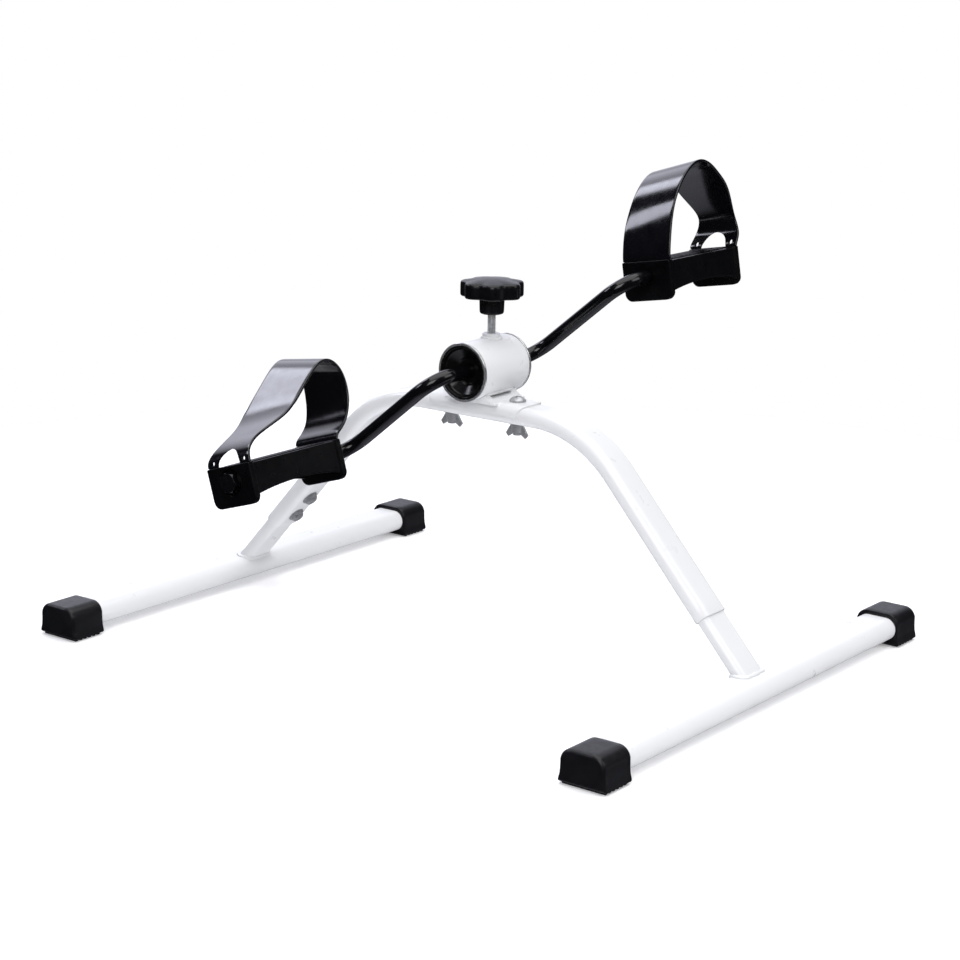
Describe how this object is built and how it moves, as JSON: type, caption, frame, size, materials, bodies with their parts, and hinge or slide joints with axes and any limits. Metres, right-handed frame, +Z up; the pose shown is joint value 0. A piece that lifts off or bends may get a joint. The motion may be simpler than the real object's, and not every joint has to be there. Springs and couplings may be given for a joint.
{
  "type": "pedal exerciser",
  "caption": "Floor-standing pedal exerciser: bent white tube arch on two floor bars, a friction-braked crank with strapped pedals and a tension knob.",
  "frame": {"origin": "on the floor, under the middle of the frame, at the centre of the overall box", "axes": "+X forwards, from one floor bar to the other along the arch; +Y to the left, along the crank shaft and the floor bars; +Z up"},
  "size_m": [0.4932, 0.4, 0.3402],
  "materials": {
    "white_powder_coat": "glossy white powder coat",
    "black_rubber": "smooth moulded rubber with a satin sheen",
    "zinc": "bright zinc plate",
    "dark_zinc": "dull zinc plate",
    "chrome_trim": "polished",
    "black_bearing": "glossy black moulding",
    "black_enamel": "glossy black enamel",
    "brake_lining": "rough brown friction lining",
    "brass_insert": "turned",
    "black_knob": "satin moulded plastic",
    "black_moulding": "glossy moulded plastic",
    "black_strap": "glossy flexible moulding"
  },
  "bodies": {
    "frame": {"front_floor_bar": "white_powder_coat", "rear_floor_bar": "white_powder_coat", "front_leg_stub": "white_powder_coat", "rear_leg_stub": "white_powder_coat", "arch_tube": "white_powder_coat", "saddle_bracket": "white_powder_coat", "housing_tube": "white_powder_coat", "screw_boss": "white_powder_coat", "front_right_cap": "black_rubber", "front_left_cap": "black_rubber", "rear_right_cap": "black_rubber", "rear_left_cap": "black_rubber", "leg_screws": "dark_zinc", "leg_weld_nuts": "zinc", "bracket_bolts": "zinc", "bracket_washers": "zinc", "bracket_wing_nuts": "zinc", "right_trim_ring": "chrome_trim", "left_trim_ring": "chrome_trim", "right_bearing_cup": "black_bearing", "left_bearing_cup": "black_bearing"},
    "crank": {"crank_rod": "black_enamel", "friction_sleeve": "zinc", "axle_washers": "zinc", "axle_lock_nuts": "black_enamel"},
    "brake": {"brake_shoe": "zinc", "friction_pad": "brake_lining"},
    "knob": {"tension_screw": "zinc", "knob_insert": "brass_insert", "tension_knob": "black_knob"},
    "right_pedal": {"right_pedal_body": "black_moulding", "right_strap": "black_strap", "right_strap_pins": "black_moulding"},
    "left_pedal": {"left_pedal_body": "black_moulding", "left_strap": "black_strap", "left_strap_pins": "black_moulding"}
  },
  "joints": [
    {"name": "crank_turn", "type": "hinge", "parent": "frame", "child": "crank", "pos_m": [0, 0, 0.1984], "axis": [0, 1, 0], "continuous": true},
    {"name": "right_pedal_turn", "type": "hinge", "parent": "crank", "child": "right_pedal", "pos_m": [-0.0762, -0.1328, 0.1363], "axis": [0, 1, 0], "continuous": true},
    {"name": "left_pedal_turn", "type": "hinge", "parent": "crank", "child": "left_pedal", "pos_m": [0.0762, 0.1328, 0.2605], "axis": [0, 1, 0], "continuous": true},
    {"name": "brake_travel", "type": "slide", "parent": "frame", "child": "brake", "axis": [0, 0, -1], "range_m": [-0.0018, 0.0009]},
    {"name": "knob_turn", "type": "hinge", "parent": "brake", "child": "knob", "pos_m": [0, 0.0065, 0.24], "axis": [0, 0, -1], "range_deg": [-647, 323]}
  ],
  "couplings": [
    {"joint": "brake_travel", "follows": "knob_turn", "m_per_rad": 0.00015915}
  ]
}
